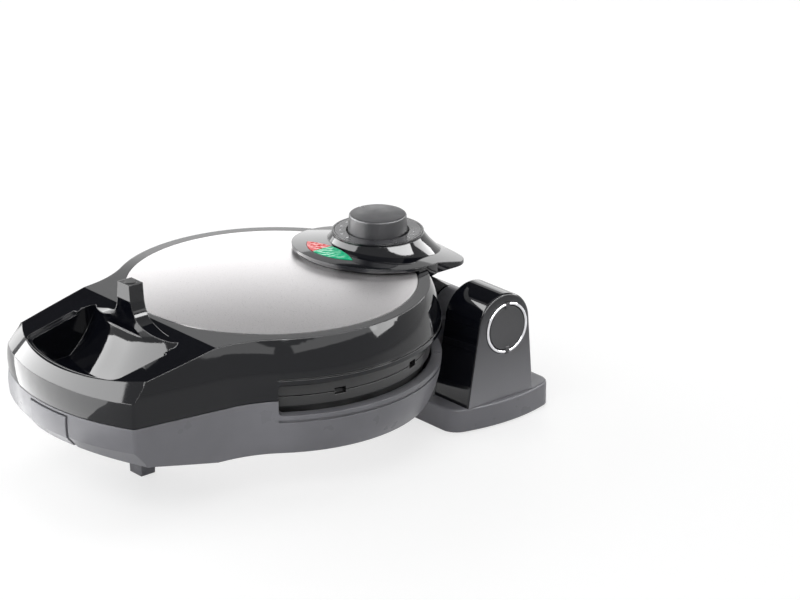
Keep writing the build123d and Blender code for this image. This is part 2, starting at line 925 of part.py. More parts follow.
# Lower shell: the shared form turned over, with the hinge ears and the opening for the latch
with BuildPart() as lower_shell:
    add(about_parting(shell_form(lower_post_shift)))
    ear = about_parting(knuckle(ear_inner, ear_outer, hinge_pin_radius + hinge_pin_clearance))
    add(ear)
    add(to_rear(ear))
    for side in (1, -1):
        with BuildSketch(section(side * ear_outer)):
            Circle(pivot_radius + pivot_clearance)
        extrude(amount=side * (ear_outer - hinge_pin_half), mode=Mode.SUBTRACT)
    with BuildSketch(level(0)):
        add(hook_slot())
    extrude(amount=-(parting_gap + floor_wall + cut_past), mode=Mode.SUBTRACT)
    with BuildSketch(level(latch_gap - latch_top)):
        with Locations((-handle_reach, 0)):
            Rectangle(4 * latch_window_depth, 2 * (latch_half_width + latch_gap))
        with Locations((-end_centre, 0)):
            Circle(end_radius - latch_window_depth, mode=Mode.SUBTRACT)
    extrude(amount=-rim_top, mode=Mode.SUBTRACT)
    with BuildSketch(level(-latch_pivot - latch_rib_half)):
        rib_middle = (latch_rib_outer_back + latch_rib_inner_back) / 2 - handle_reach
        with Locations((rib_middle, latch_rib_place), (rib_middle, -latch_rib_place)):
            Rectangle(latch_rib_inner_back - latch_rib_outer_back, latch_rib_thickness)
    extrude(amount=2 * latch_rib_half)
    with BuildSketch(section(latch_half_width)):
        with Locations((-latch_pin_reach, -latch_pivot)):
            Circle(latch_pin_radius + latch_pin_clearance)
    extrude(amount=2 * latch_half_width, mode=Mode.SUBTRACT)
    with BuildSketch(level(-plate_back)):
        with Locations(*cover_boss_places):
            Circle(screw_radius + screw_clearance)
    extrude(amount=-rim_top, mode=Mode.SUBTRACT)

# Steel discs: domed sheets that lie in the shells' ledges and run under the hinge covers
with BuildPart() as upper_disc:
    add(disc_form(0, disc_radius, disc_seat))
    add(disc_form(-disc_thickness, disc_radius, disc_seat - disc_crown), mode=Mode.SUBTRACT)
    with BuildSketch(level(disc_seat - disc_crown)):
        add(cover_plan(disc_cover_lap))
    extrude(amount=4 * disc_crown, mode=Mode.SUBTRACT)

with BuildPart() as lower_disc:
    add(about_parting(upper_disc.part))

# Space that the hinge covers keep clear: the disc outside their skirt, and the shell
with BuildPart() as disc_room:
    add(disc_form(cover_gap, disc_radius + disc_edge_gap, plate_back))
    with BuildSketch(level(0)):
        add(cover_plan(disc_cover_lap + disc_edge_gap))
    extrude(amount=2 * rim_top, mode=Mode.SUBTRACT)

with BuildPart() as shell_room:
    add(block(-cover_gap, plate_back, -cover_gap))
    with BuildSketch(level(disc_seat + cover_gap)):
        with Locations((-plate_centre, 0)):
            Circle(disc_radius + disc_edge_gap)
    extrude(amount=rim_top, mode=Mode.SUBTRACT)

# Hollow under a hinge cover's roof, inside its skirt and under its hood
with BuildPart() as cover_room:
    with BuildSketch(level(plate_back)):
        add(cover_plan(disc_cover_lap + disc_edge_gap + cover_wall))
    extrude(amount=rim_top)
    with BuildSketch(level(plate_back)):
        add(cover_plan(cover_wall))
        with Locations((-hood_start, 0)):
            Rectangle(
                2 * cover_radius,
                2 * cover_radius,
                align=(Align.MAX, Align.CENTER),
                mode=Mode.SUBTRACT,
            )
    extrude(amount=rim_top)
    add(dome(cover_wall), mode=Mode.INTERSECT)

# Posts under a hinge cover for its screws
with BuildPart() as cover_bosses:
    add(ring_group(level(disc_seat + cover_gap), cover_boss_places, cover_boss_radius, rim_top))
    add(dome(cover_wall / 2), mode=Mode.INTERSECT)

pilot_depth = screw_length + cover_gap
cover_pilots = ring_group(level(deck_under), cover_boss_places, screw_pilot_radius, pilot_depth)

# Gap under a hinge cover's overhanging rim, where it stands over the disc
with BuildPart() as rim_room:
    with BuildSketch(level(plate_back)):
        add(cover_plan(-cut_past))
        add(cover_plan(cover_overhang), mode=Mode.SUBTRACT)
        with Locations((-cover_centre, 0)):
            Rectangle(
                2 * cover_radius,
                3 * cover_radius,
                align=(Align.MIN, Align.CENTER),
                mode=Mode.SUBTRACT,
            )
    extrude(amount=rim_top)
    add(dome(cover_rim), mode=Mode.INTERSECT)

# Form of a hinge cover: a shallow dome that laps over the disc and hoods the hinge
with BuildPart() as cover_form:
    with BuildSketch(level(hood_low)):
        add(cover_plan(0))
    extrude(amount=rim_top)
    add(dome(0), mode=Mode.INTERSECT)
    add(rim_room.part, mode=Mode.SUBTRACT)
    add(disc_room.part, mode=Mode.SUBTRACT)
    add(shell_room.part, mode=Mode.SUBTRACT)

# Flare of the upper hinge cover, which carries the dial
with BuildPart() as dial_flare:
    with BuildSketch(upright_at(-dial_place)):
        with BuildLine():
            Polyline(
                (0, hood_low),
                (0, dial_top),
                (-dial_radius, dial_top),
                (-dial_radius, dial_top - dial_rim),
            )
            ThreePointArc(
                (-dial_radius, dial_top - dial_rim),
                (-dial_waist[0], dial_waist[1]),
                (-dial_foot_radius, dial_foot),
            )
            Polyline((-dial_foot_radius, dial_foot), (-dial_foot_radius, hood_low), (0, hood_low))
        make_face()
    revolve(axis=Axis((pivot_x - dial_place, 0, 0), (0, 0, 1)))
    with BuildSketch(level(0)):
        add(cover_plan(cover_overhang))
    extrude(amount=2 * dial_top, mode=Mode.INTERSECT)
    add(disc_room.part, mode=Mode.SUBTRACT)
    add(shell_room.part, mode=Mode.SUBTRACT)

# Upper hinge cover, with a window for the two lamps
with BuildPart() as upper_hinge_cover:
    add(cover_form.part)
    add(dial_flare.part)
    add(cover_room.part, mode=Mode.SUBTRACT)
    dial_spot = ((-dial_place, 0),)
    room = dial_well - cover_wall - plate_back
    add(ring_group(level(plate_back), dial_spot, dial_ring_radius - cover_wall, room), mode=Mode.SUBTRACT)
    add(ring_group(level(plate_back), dial_spot, dial_hole_radius, dial_top), mode=Mode.SUBTRACT)
    add(ring_group(level(dial_well), dial_spot, dial_well_radius, dial_top), mode=Mode.SUBTRACT)
    ring_seat = ring_group(level(dial_seat), dial_spot, dial_ring_radius + dial_ring_gap, dial_top)
    add(ring_seat, mode=Mode.SUBTRACT)
    add(cover_bosses.part)
    add(cover_pilots, mode=Mode.SUBTRACT)
    with BuildSketch(level(plate_back)):
        add(lamp_plan(0, 1, 0))
    extrude(amount=dial_top, mode=Mode.SUBTRACT)

# Lower hinge cover: a plain dome with a ring groove and a window for one lamp
with BuildPart() as ring_groove:
    ring_spot = ((-ring_groove_place, 0),)
    outer_edge = ring_groove_radius + ring_groove_width / 2
    inner_edge = ring_groove_radius - ring_groove_width / 2
    add(ring_group(level(plate_back), ring_spot, outer_edge, dial_top, inner_edge))
    add(dome(ring_groove_depth), mode=Mode.SUBTRACT)

with BuildPart() as lower_cover_form:
    add(cover_form.part)
    add(cover_room.part, mode=Mode.SUBTRACT)
    add(cover_bosses.part)
    add(cover_pilots, mode=Mode.SUBTRACT)
    add(ring_groove.part, mode=Mode.SUBTRACT)
    with BuildSketch(level(plate_back)):
        with Locations((-lower_lamp_place, 0)):
            Ellipse(lower_lamp_width / 2, lower_lamp_length / 2)
    extrude(amount=dial_top, mode=Mode.SUBTRACT)

with BuildPart() as lower_hinge_cover:
    add(about_parting(lower_cover_form.part))

# Lamps: coloured lenses that follow the covers' domes
with BuildPart() as red_lamp:
    with BuildSketch(level(dome_height(*lamp_place) - lamp_depth)):
        add(lamp_plan(0, lamp_split, lamp_gap))
    extrude(amount=2 * lamp_depth)
    add(dome(-lamp_proud), mode=Mode.INTERSECT)

with BuildPart() as green_lamp:
    with BuildSketch(level(dome_height(*lamp_place) - lamp_depth)):
        add(lamp_plan(lamp_split, 1, lamp_gap))
    extrude(amount=2 * lamp_depth)
    add(dome(-lamp_proud), mode=Mode.INTERSECT)

with BuildPart() as lower_lamp:
    with BuildPart(mode=Mode.PRIVATE) as lens:
        with BuildSketch(level(dome_height(-lower_lamp_place, 0) - lamp_depth)):
            with Locations((-lower_lamp_place, 0)):
                Ellipse(lower_lamp_width / 2 - lamp_gap, lower_lamp_length / 2 - lamp_gap)
        extrude(amount=2 * lamp_depth)
        add(dome(-lamp_proud), mode=Mode.INTERSECT)
    add(about_parting(lens.part))

# Dial: a printed ring let in flush with the top of the flare, round the well that the knob stands in
with BuildPart() as dial_ring:
    add(ring_group(level(dial_seat), dial_spot, dial_ring_radius, dial_ring_thickness, dial_well_radius))

# Knob: a hollow turned cap with a crowned top, a hub for the spindle and a pointer notch
with BuildPart() as knob:
    with BuildSketch(upright_at(-dial_place)):
        with BuildLine():
            edge_radius = knob_radius - knob_draft - knob_edge_round
            edge_top = knob_top - knob_crown
            side_top = (-edge_radius - knob_edge_round, edge_top - knob_edge_round)
            diagonal = knob_edge_round * cos(radians(45))
            corner = (-edge_radius - diagonal, edge_top - knob_edge_round + diagonal)
            crown = cap_height(edge_radius / 2, edge_radius, knob_crown)
            crown_middle = (-edge_radius / 2, edge_top + crown)
            Polyline((0, knob_top), (0, knob_low), (-knob_radius, knob_low), side_top)
            ThreePointArc(side_top, corner, (-edge_radius, edge_top))
            ThreePointArc((-edge_radius, edge_top), crown_middle, (0, knob_top))
        make_face()
    revolve(axis=Axis((pivot_x - dial_place, 0, 0), (0, 0, 1)))
    hollow = knob_bore_top - knob_low
    add(
        ring_group(level(knob_low), dial_spot, knob_radius - knob_wall, hollow, knob_hub_radius),
        mode=Mode.SUBTRACT,
    )
    add(
        ring_group(level(knob_low), dial_spot, spindle_radius + spindle_clearance, hollow),
        mode=Mode.SUBTRACT,
    )
    with BuildSketch(level(knob_top - knob_crown - knob_mark_depth)):
        with Locations(Location((-dial_place, 0), knob_mark_angle)):
            with Locations((knob_radius - knob_mark_length / 2, 0)):
                Rectangle(knob_mark_length, knob_mark_width)
    extrude(amount=knob_crown + knob_mark_depth, mode=Mode.SUBTRACT)

with BuildPart() as knob_spindle:
    add(ring_group(level(spindle_low), dial_spot, spindle_radius, knob_bore_top - spindle_low))

# Thermostat under the lid's deck, open at one end where its contact blade works
with BuildPart() as thermostat:
    with BuildSketch(level(thermostat_top - thermostat_height)):
        with Locations((-thermostat_middle, 0)):
            Rectangle(thermostat_length, thermostat_width)
    extrude(amount=thermostat_height)
    bore = spindle_radius + spindle_clearance
    add(ring_group(level(spindle_low - cover_gap), dial_spot, bore, thermostat_height), mode=Mode.SUBTRACT)
    slot_half = blade_width / 2 + blade_side_gap
    slot_end = blade_place + blade_barrel + cover_gap
    with BuildSketch(section(slot_half)):
        with Locations((-blade_place, blade_height)):
            Circle(blade_barrel + blade_clearance)
            Rectangle(2 * blade_barrel, blade_mouth, align=(Align.MAX, Align.CENTER))
        with Locations((-slot_end, blade_height)):
            Rectangle(thermostat_length, 2 * blade_travel, align=(Align.MAX, Align.CENTER))
    extrude(amount=2 * slot_half, mode=Mode.SUBTRACT)

with BuildPart() as contact_blade:
    with BuildSketch(section(blade_width / 2)):
        with Locations((-blade_place, blade_height)):
            Circle(blade_barrel)
            Rectangle(blade_length, blade_thickness, align=(Align.MAX, Align.CENTER))
    extrude(amount=blade_width)
    with BuildSketch(level(blade_height)):
        with Locations((-blade_place - blade_length + contact_radius, 0)):
            Circle(contact_radius)
    extrude(amount=contact_height)

with BuildPart() as thermal_fuse:
    with BuildSketch(section(fuse_length / 2)):
        with Locations((-fuse_place, reflector_top + fuse_radius + fuse_gap)):
            Circle(fuse_radius)
    extrude(amount=fuse_length)

# Cooking plates: cast trays with a grid of studs, steam notches in the rim and posts behind
with BuildPart() as upper_plate:
    with BuildSketch(level(parting_gap)):
        with Locations((-plate_centre, 0)):
            Circle(plate_radius)
    extrude(amount=plate_rim_height)
    with BuildSketch(level(parting_gap)):
        with Locations((-plate_centre, 0)):
            Circle(plate_flange_radius)
    extrude(amount=plate_back - parting_gap)
    with BuildSketch(level(parting_gap)):
        with Locations((-plate_centre, 0)):
            Circle(cavity_radius)
    extrude(amount=cavity_depth, mode=Mode.SUBTRACT)
    with BuildSketch(level(parting_gap + cavity_depth)):
        with Locations(*stud_places()):
            Rectangle(stud_base, stud_base)
    extrude(amount=-stud_height, taper=stud_taper)
    with BuildSketch(level(parting_gap + cavity_depth)):
        with Locations((-plate_centre, 0)):
            Rectangle(2 * cavity_radius, divider_width)
            Rectangle(divider_width, 2 * cavity_radius)
            Circle(cavity_radius, mode=Mode.INTERSECT)
    extrude(amount=-divider_height)
    for angle in steam_notch_angles:
        for side in (1, -1):
            x = -plate_centre + plate_radius * cos(radians(angle))
            y = side * plate_radius * sin(radians(angle))
            with BuildSketch(level(parting_gap)):
                with Locations(Location((x, y), side * angle)):
                    Rectangle(2 * steam_notch_depth, steam_notch_width)
            extrude(amount=steam_notch_height, mode=Mode.SUBTRACT)
    add(ring_group(level(plate_back), boss_places, plate_boss_radius, plate_boss_height))
    pilot = ring_group(level(plate_back), boss_places, screw_pilot_radius, plate_boss_height)
    add(pilot, mode=Mode.SUBTRACT)

with BuildPart() as lower_plate:
    add(about_parting(upper_plate.part))

# Heating elements: a tube bent round the back of each plate, its ends turned up
with BuildPart() as upper_heater:
    add(heater(1))

with BuildPart() as lower_heater:
    add(heater(-1))

# Reflectors: pressed sheets over the heating elements, with a turned-down edge
with BuildPart() as upper_reflector:
    middle = ((-plate_centre, 0),)
    sheet = ring_group(
        level(reflector_height), middle, reflector_radius, reflector_thickness, reflector_window
    )
    add(sheet)
    edge = reflector_radius - reflector_thickness
    add(ring_group(level(reflector_top), middle, reflector_radius, -reflector_lip, edge))
    hole = ring_group(level(plate_back), boss_places, screw_pilot_radius + screw_clearance, rim_top)
    add(hole, mode=Mode.SUBTRACT)
    add(ring_group(level(plate_back), heater_ends, reflector_hole, rim_top), mode=Mode.SUBTRACT)

with BuildPart() as lower_reflector:
    add(about_parting(upper_reflector.part))

with BuildPart() as upper_reflector_screws:
    add(screws(level(reflector_top), boss_places, screw_length))

with BuildPart() as lower_reflector_screws:
    add(about_parting(upper_reflector_screws.part))

with BuildPart() as upper_cover_screws:
    add(ring_group(level(deck_under), cover_boss_places, screw_head_radius, -screw_head_height))
    add(ring_group(level(deck_under), cover_boss_places, screw_radius, screw_length))

with BuildPart() as lower_cover_screws:
    add(about_parting(upper_cover_screws.part))

# Rubber plugs in the tips of the two posts, which the body stands on
with BuildPart() as upper_post_plug:
    add(post_plug(0))

with BuildPart() as lower_post_plug:
    add(about_parting(post_plug(lower_post_shift)))

# Hinge pin through the lid's barrel and the lower half's ears
with BuildPart() as hinge_pin:
    with BuildSketch(section(hinge_pin_half)):
        Circle(hinge_pin_radius)
    extrude(amount=2 * hinge_pin_half)

# Hollow pivots that carry the body in the towers and let the wires through
with BuildPart() as front_pivot:
    with BuildSketch(section(-hinge_pin_half - pivot_start_gap)):
        Circle(pivot_radius)
    extrude(amount=pivot_end - hinge_pin_half - pivot_start_gap)
    with BuildSketch(section(-ear_outer - pivot_start_gap)):
        Circle(pivot_collar_radius)
    extrude(amount=tower_inner - ear_outer - pivot_start_gap - pivot_collar_gap)
    with BuildSketch(section(-hinge_pin_half)):
        Circle(pivot_bore)
    extrude(amount=pivot_end, mode=Mode.SUBTRACT)

with BuildPart() as rear_pivot:
    add(to_rear(front_pivot.part))

with BuildPart() as front_bush:
    with BuildSketch(section(-tower_inner)):
        Circle(bush_radius)
        Circle(pivot_radius + pivot_clearance, mode=Mode.SUBTRACT)
    extrude(amount=bush_end - tower_inner)

with BuildPart() as rear_bush:
    add(to_rear(front_bush.part))

with BuildPart() as pivot_clips:
    with BuildSketch(section(-bush_end - pivot_start_gap)):
        Circle(clip_radius)
        Circle(pivot_radius + pivot_clearance, mode=Mode.SUBTRACT)
    extrude(amount=clip_thickness)
    add(to_rear(pivot_clips.part))

# Stand towers: hollow, open below, with a boss for the bush and a hole for the cap
with BuildPart() as front_tower:
    with BuildSketch(section(-tower_inner)):
        add(tower_plan(0))
    extrude(amount=tower_outer - tower_inner)
    face = front_tower.faces().sort_by(Axis.Y)[0]
    fillet(face.edges().group_by(Axis.Z)[1:], tower_edge_round)
    with BuildSketch(section(-tower_inner - tower_wall)):
        add(tower_plan(tower_wall))
        with Locations((0, base_deck - pivot_height)):
            Rectangle(tower_left_foot, 3 * tower_wall)
    extrude(amount=tower_outer - tower_inner - 2 * tower_wall, mode=Mode.SUBTRACT)
    with BuildSketch(section(-tower_inner)):
        Circle(bush_radius + tower_boss_wall)
    extrude(amount=bush_end - tower_inner)
    with BuildSketch(section(-tower_inner)):
        Circle(bush_radius + pivot_clearance)
    extrude(amount=bush_end - tower_inner + tower_wall, mode=Mode.SUBTRACT)
    with BuildSketch(section(-tower_outer)):
        Circle(cap_radius + cap_gap)
    extrude(amount=-tower_outer + pivot_end, mode=Mode.SUBTRACT)
    with BuildSketch(section(-tower_outer)):
        Circle(trim_groove_radius)
    extrude(amount=-trim_groove_depth, mode=Mode.SUBTRACT)
    front_places = [place for place in tower_screw_places if place[1] < 0]
    add(ring_group(table(base_deck), front_places, tower_post_radius, tower_post_height))
    pilot = ring_group(table(base_deck), front_places, screw_pilot_radius, screw_length)
    add(pilot, mode=Mode.SUBTRACT)

with BuildPart() as rear_tower:
    add(to_rear(front_tower.part))

# Caps over the pivots, each with two clips over a bright trim ring
with BuildPart() as front_cap:
    with BuildSketch(section(-tower_outer + cap_depth)):
        Circle(cap_radius)
    extrude(amount=cap_depth + cap_proud)
    with BuildSketch(section(-tower_outer + trim_groove_depth - trim_gap)):
        for side in (1, -1):
            with Locations((0, side * (cap_radius + trim_groove_radius) / 2)):
                Rectangle(cap_tab_width, 2 * (trim_groove_radius - cap_radius))
        Circle(trim_groove_radius - trim_gap, mode=Mode.INTERSECT)
    extrude(amount=2 * trim_ring_tube)

with BuildPart() as rear_cap:
    add(to_rear(front_cap.part))

with BuildPart() as trim_rings:
    ring_place = -tower_outer + trim_groove_depth - trim_gap - trim_ring_tube
    with BuildSketch(Plane(origin=(pivot_x, ring_place, pivot_height))):
        with Locations((trim_ring_radius, 0)):
            Circle(trim_ring_tube)
    revolve(axis=Axis((pivot_x, 0, pivot_height), (0, 1, 0)))
    with BuildSketch(section(-pivot_end)):
        Rectangle(cap_tab_width + 2 * cap_gap, 4 * trim_groove_radius)
    extrude(amount=tower_outer, mode=Mode.SUBTRACT)
    add(to_rear(trim_rings.part))

# Foot of the stand: a deck with a skirt, a bottom plate, rubber feet and screws
with BuildPart() as base_shell:
    with BuildSketch(table(base_skirt_low)):
        add(base_plan(0))
    extrude(amount=base_deck - base_skirt_low)
    fillet(base_shell.faces().sort_by(Axis.Z)[-1].edges(), base_edge_round)
    with BuildSketch(table(base_skirt_low)):
        add(base_plan(base_wall))
    extrude(amount=base_deck - base_wall - base_skirt_low, mode=Mode.SUBTRACT)
    post_low = plate_top + base_post_gap
    post = base_deck - base_wall - post_low
    add(ring_group(table(post_low), base_screw_places, base_post_radius, post))
    add(ring_group(table(post_low), base_screw_places, screw_pilot_radius, screw_length), mode=Mode.SUBTRACT)
    hole = ring_group(table(0), tower_screw_places, screw_radius + screw_clearance, 2 * base_deck)
    add(hole, mode=Mode.SUBTRACT)
    with BuildSketch(section(base_middle_half)):
        with Locations((gland_place, gland_height - pivot_height)):
            Circle(gland_radius + cap_gap)
    extrude(amount=base_middle_half - base_gap_half, mode=Mode.SUBTRACT)

with BuildPart() as base_plate:
    with BuildSketch(table(base_plate_low)):
        add(base_plan(base_wall + base_plate_clearance))
    extrude(amount=base_plate_thickness)
    hole = ring_group(table(0), base_screw_places, screw_radius + screw_clearance, base_deck)
    add(hole, mode=Mode.SUBTRACT)

with BuildPart() as rubber_feet:
    add(ring_group(table(0), foot_places, foot_radius, base_plate_low))

with BuildPart() as base_screws:
    head = min(screw_head_height, base_plate_low - base_post_gap)
    add(ring_group(table(base_plate_low), base_screw_places, screw_head_radius, -head))
    add(ring_group(table(base_plate_low), base_screw_places, screw_radius, screw_length))

with BuildPart() as tower_screws:
    under = base_deck - base_wall
    add(ring_group(table(under), tower_screw_places, screw_head_radius, -screw_head_height))
    add(ring_group(table(under), tower_screw_places, screw_radius, screw_length))

with BuildPart() as terminal_block:
    with BuildSketch(table(plate_top + terminal_gap)):
        with Locations((terminal_place, 0)):
            Rectangle(terminal_width, terminal_length)
    extrude(amount=terminal_height)

# Inlet bush for the mains lead in the rear of the skirt
with BuildPart() as cord_gland:
    gland_end = base_middle_half + gland_proud
    flange_place = base_corner_half - gland_flange_thickness
    with BuildSketch(section(gland_end)):
        with Locations((gland_place, gland_height - pivot_height)):
            Circle(gland_radius)
    extrude(amount=gland_end - flange_place)
    with BuildSketch(section(base_corner_half)):
        with Locations((gland_place, gland_height - pivot_height)):
            Circle(gland_flange)
    extrude(amount=gland_flange_thickness)
    with BuildSketch(section(gland_end)):
        with Locations((gland_place, gland_height - pivot_height)):
            Circle(gland_bore)
    extrude(amount=gland_end, mode=Mode.SUBTRACT)

# Latch: a panel that rocks on a pin and carries the hook, its pin and springs, and the strike
with BuildPart() as latch:
    add(about_parting(latch_face(-latch_proud)))
    add(about_parting(latch_face(latch_thickness - latch_proud)), mode=Mode.SUBTRACT)
    with BuildSketch(level(-latch_bottom)):
        with Locations((-handle_reach, 0)):
            Rectangle(4 * latch_window_depth, 2 * latch_half_width)
    extrude(amount=latch_bottom - latch_top, mode=Mode.INTERSECT)
    with BuildSketch(section(latch_lug_half)):
        with Locations((-latch_pin_reach, -latch_pivot)):
            Circle(latch_lug_radius)
        with Locations((-latch_pin_reach, -latch_pivot)):
            lug_reach = latch_pin_back + latch_proud - latch_thickness / 2
            Rectangle(lug_reach, 2 * latch_lug_radius, align=(Align.MAX, Align.CENTER))
        Polygon(
            (-hook_outer, -latch_pivot),
            (-hook_outer, latch_hook_top),
            (-hook_inner, latch_hook_top),
            (latch_barb - hook_inner, latch_hook_top - latch_barb_drop),
            (-hook_inner, latch_hook_top - latch_barb_height),
            (-hook_inner, -latch_pivot),
            align=None,
        )
    extrude(amount=2 * latch_lug_half)
    with BuildSketch(section(latch_half_width)):
        with Locations((-latch_pin_reach, -latch_pivot)):
            Circle(latch_pin_radius + latch_pin_clearance)
    extrude(amount=2 * latch_half_width, mode=Mode.SUBTRACT)

with BuildPart() as latch_pin:
    pin_half = latch_rib_place + latch_rib_thickness / 2
    with BuildSketch(section(pin_half)):
        with Locations((-latch_pin_reach, -latch_pivot)):
            Circle(latch_pin_radius)
    extrude(amount=2 * pin_half)

with BuildPart() as latch_springs:
    spring_start = latch_lug_half + latch_spring_gap
    spring_end = latch_rib_place - latch_rib_thickness / 2 - latch_spring_gap
    with BuildSketch(section(-spring_start)):
        with Locations((-latch_pin_reach, -latch_pivot)):
            Circle(latch_spring_radius)
            Circle(latch_spring_bore, mode=Mode.SUBTRACT)
    extrude(amount=spring_end - spring_start)
    add(to_rear(latch_springs.part))

with BuildPart() as latch_strike:
    with BuildSketch(section(latch_lug_half)):
        back = handle_reach - pocket_lip + shell_wall + strike_seat_gap
        lip = hook_inner - latch_barb - strike_gap
        low = parting_gap + floor_wall + strike_seat_gap
        Polygon(
            (-back, low),
            (-back, low + strike_height),
            (-back - strike_wall, low + strike_height),
            (-back - strike_wall, low + strike_lip_height),
            (-lip, low + strike_lip_height),
            (-lip, low),
            align=None,
        )
    extrude(amount=2 * latch_lug_half)

pieces = {
    "upper_shell": upper_shell,
    "lower_shell": lower_shell,
    "upper_disc": upper_disc,
    "lower_disc": lower_disc,
    "upper_hinge_cover": upper_hinge_cover,
    "lower_hinge_cover": lower_hinge_cover,
    "red_lamp": red_lamp,
    "green_lamp": green_lamp,
    "lower_lamp": lower_lamp,
    "dial_ring": dial_ring,
    "knob": knob,
    "knob_spindle": knob_spindle,
    "thermostat": thermostat,
    "contact_blade": contact_blade,
    "thermal_fuse": thermal_fuse,
    "upper_plate": upper_plate,
    "lower_plate": lower_plate,
    "upper_heater": upper_heater,
    "lower_heater": lower_heater,
    "upper_reflector": upper_reflector,
    "lower_reflector": lower_reflector,
    "upper_reflector_screws": upper_reflector_screws,
    "lower_reflector_screws": lower_reflector_screws,
    "upper_cover_screws": upper_cover_screws,
    "lower_cover_screws": lower_cover_screws,
    "upper_post_plug": upper_post_plug,
    "lower_post_plug": lower_post_plug,
    "hinge_pin": hinge_pin,
    "front_pivot": front_pivot,
    "rear_pivot": rear_pivot,
    "front_bush": front_bush,
    "rear_bush": rear_bush,
    "pivot_clips": pivot_clips,
    "front_tower": front_tower,
    "rear_tower": rear_tower,
    "front_cap": front_cap,
    "rear_cap": rear_cap,
    "trim_rings": trim_rings,
    "base_shell": base_shell,
    "base_plate": base_plate,
    "rubber_feet": rubber_feet,
    "base_screws": base_screws,
    "tower_screws": tower_screws,
    "terminal_block": terminal_block,
    "cord_gland": cord_gland,
    "latch": latch,
    "latch_pin": latch_pin,
    "latch_springs": latch_springs,
    "latch_strike": latch_strike,
}

os.makedirs("parts", exist_ok=True)
for name, piece in pieces.items():
    piece.part.label = name
    export_step(piece.part, "parts/" + name + ".step")
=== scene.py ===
"""Finishes, dial print and studio for a waffle maker whose closed body turns over in its stand.

Lengths are in metres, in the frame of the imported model: X from the handle to the stand, Y along
the pivot axis, Z up.
"""

import math

import bmesh
import bpy
from mathutils import Matrix, Vector


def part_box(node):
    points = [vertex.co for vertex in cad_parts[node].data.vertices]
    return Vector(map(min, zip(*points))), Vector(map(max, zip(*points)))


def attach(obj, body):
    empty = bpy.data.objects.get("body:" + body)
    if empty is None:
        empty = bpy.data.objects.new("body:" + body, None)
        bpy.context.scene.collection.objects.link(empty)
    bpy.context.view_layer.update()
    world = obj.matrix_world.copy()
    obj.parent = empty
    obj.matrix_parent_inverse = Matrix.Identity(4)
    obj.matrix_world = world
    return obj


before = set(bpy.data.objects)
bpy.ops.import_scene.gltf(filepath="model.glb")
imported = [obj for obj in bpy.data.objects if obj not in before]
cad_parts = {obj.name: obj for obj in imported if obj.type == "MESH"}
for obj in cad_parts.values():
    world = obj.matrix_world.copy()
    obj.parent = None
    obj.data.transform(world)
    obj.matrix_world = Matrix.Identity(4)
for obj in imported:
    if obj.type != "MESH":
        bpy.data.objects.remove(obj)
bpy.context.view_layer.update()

bl_info = {
    "name": "Turning waffle maker",
    "version": (1, 0, 0),
    "blender": (4, 5, 0),
    "location": "3D View > Sidebar > Waffle maker",
    "description": "Dresses the waffle maker's solids, prints its dial and sets up its studio",
    "category": "Object",
}

DIAL_LOW, DIAL_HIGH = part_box("dial_ring")
DIAL_MIDDLE = (DIAL_LOW + DIAL_HIGH) / 2
TOWER_REACH = -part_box("front_tower")[0].y
TOWER_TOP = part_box("front_tower")[1].z
FINISHED = {}
SURFACE_TINT = 0.12
DIAL_DOTS = (105, 124, 142, 160, 178)
DIAL_NUMBERS = (("1", -76), ("2", -64), ("3", -52))
FLOOR_LIT = (0.8, 0.8, 0.8)
FLOOR_SHOWN = (0.32, 0.32, 0.32)
FLOOR_GLOW = 0.70
WORLD_LIGHT = 0.35
LAMP_REACH = 2.3
LAMP_TARGET = Vector((0, 0, 0.06))

# Name, azimuth, elevation, degrees across, degrees up and brightness
SOFTBOXES = (
    ("rear_softbox", -148, 27, 40, 27, 2.4),
    ("top_softbox", 120, 74, 42, 24, 2.4),
    ("key_softbox", -70, 46, 34, 25, 3.4),
)
GLOSS_CARDS = (
    ("far_left_card", -179, 12, 10, 20, 4.0),
    ("left_card", -132, 26, 80, 44, 12.0),
    ("front_glow", 8, 25, 60, 9, 2.5),
    ("front_card", 8, 42, 74, 12, 26.0),
    ("right_card", 68, 20, 62, 12, 12.0),
    ("rear_card", 146, 12, 52, 18, 1.5),
)
LOW_CARD = ("low_card", 0, 0, 14, 15, 4.4)
LOW_CARD_PLACE = (-0.45, 0.32, 0.001)
FLAG = (138, 44, 76, 33)
FLAG_BEHIND_LAMPS = 0.1
FLOOR_HALF = 6.0

VIEW_AZIMUTH = -40.33
VIEW_ELEVATION = 21.01
VIEW_DISTANCE = 2.4989
VIEW_TARGET = Vector((0.11339, -0.00359, 0.06799))
VIEW_LENS = 163.88
VIEW_SENSOR = 36.0


def length(name, default, low, high, description):
    """A length in metres."""
    return bpy.props.FloatProperty(
        name=name,
        description=description,
        default=default,
        min=low,
        max=high,
        precision=4,
        subtype="DISTANCE",
        unit="LENGTH",
    )


def share(name, default, description):
    """A number from 0 to 1."""
    return bpy.props.FloatProperty(
        name=name, description=description, default=default, min=0.0, max=1.0, subtype="FACTOR"
    )


def colour(name, default, description):
    """A colour in linear light."""
    return bpy.props.FloatVectorProperty(
        name=name, description=description, default=default, size=3, min=0.0, max=1.0, subtype="COLOR"
    )


class WaffleSizes(bpy.types.PropertyGroup):
    """Sizes of the print and of the small roundings."""

    edge_round: length("Edge rounding", 0.0009, 0.0001, 0.002, "Softness of the mouldings' edges")
    dot_radius: length("Dot radius", 0.0008, 0.0003, 0.002, "Radius of the dial's dots")
    print_radius: length("Print radius", 0.0257, 0.023, 0.028, "Radius that the dial's print follows")
    number_height: length("Number height", 0.0034, 0.002, 0.005, "Height of the dial's numbers")
    print_height: length("Print height", 0.00006, 0.00002, 0.0003, "How far the print stands proud")


